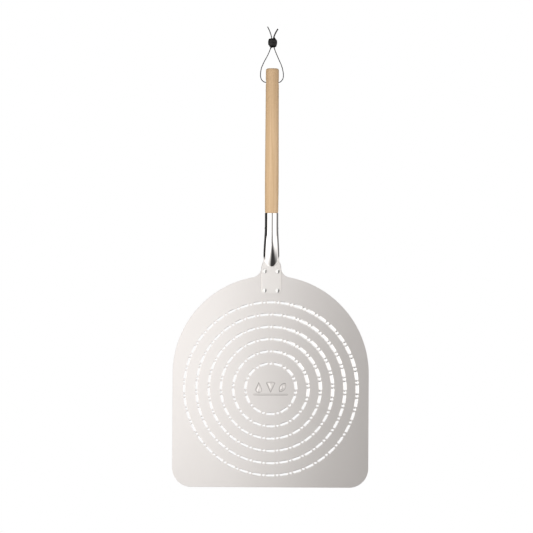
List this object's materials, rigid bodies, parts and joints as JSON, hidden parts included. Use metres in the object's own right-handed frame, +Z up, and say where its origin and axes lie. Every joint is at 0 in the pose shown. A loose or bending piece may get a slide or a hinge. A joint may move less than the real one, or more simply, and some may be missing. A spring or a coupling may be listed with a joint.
{
  "type": "pizza peel",
  "caption": "Pizza peel with a thin perforated blade, square in front and round behind, a riveted flattened-tube socket, a turned wooden handle and a knotted hanging thong.",
  "frame": {"origin": "common centre of the rings of slots, on the flat underside of the blade", "axes": "+Y runs back along the handle, +Z up out of the blade's top face, +X to the right seen from above with the handle pointing away"},
  "size_m": [0.3556, 0.8353, 0.0275],
  "materials": {
    "blade_aluminium": "satin anodised sheet, faint grain",
    "socket_steel": "polished stainless steel",
    "rivet_steel": "polished stainless steel",
    "pin_steel": "dull stainless steel",
    "handle_beech": "oiled beech, fine straight grain",
    "thong_leather": "black waxed leather"
  },
  "bodies": {
    "peel": {"blade": "blade_aluminium", "socket": "socket_steel", "rivet_front_left": "rivet_steel", "rivet_front_right": "rivet_steel", "rivet_rear_left": "rivet_steel", "rivet_rear_right": "rivet_steel", "socket_pin": "pin_steel", "handle": "handle_beech"},
    "hanging_loop": {"thong_left": "thong_leather", "thong_right": "thong_leather", "thong_knot": "thong_leather", "thong_tail_left": "thong_leather", "thong_tail_right": "thong_leather"}
  },
  "joints": [
    {"name": "loop_swing", "type": "hinge", "parent": "peel", "child": "hanging_loop", "pos_m": [0, 0.5548, 0.01505], "axis": [1, 0, 0], "range_deg": [-150, 150]}
  ]
}
